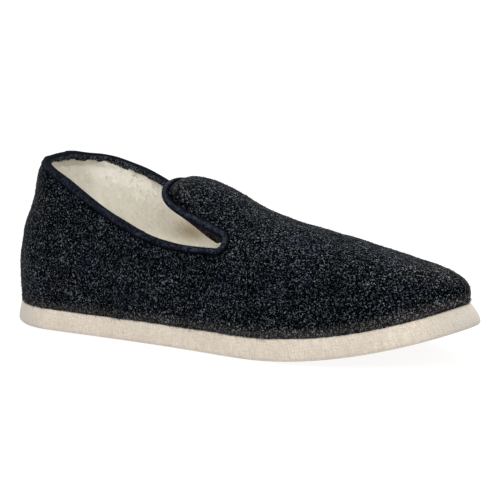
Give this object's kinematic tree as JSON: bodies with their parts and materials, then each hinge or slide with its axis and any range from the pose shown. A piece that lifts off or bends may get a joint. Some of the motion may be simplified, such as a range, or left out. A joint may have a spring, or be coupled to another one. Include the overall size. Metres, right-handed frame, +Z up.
{
  "type": "house slipper",
  "caption": "Closed-back felt house slipper with a rounded tongue tab, bound collar, fleece-lined hollow upper and a thick soft sole with toe spring.",
  "frame": {"origin": "on the floor, under the middle of the sole's outline", "axes": "+X along the foot towards the toe, +Y to the inner side of the foot, +Z up"},
  "size_m": [0.27, 0.0862, 0.0888],
  "materials": {
    "sole_felt": "matte ecru felt in a fine covering cloth",
    "wool_felt": "matte charcoal wool felt with pale grey fibres",
    "binding_tape": "fine ribbed dark navy tape with a soft sheen",
    "footbed_fleece": "cream fleece pile"
  },
  "bodies": {
    "root": {"sole": "sole_felt", "upper": "wool_felt", "collar_binding": "binding_tape", "insole": "footbed_fleece"}
  },
  "joints": []
}
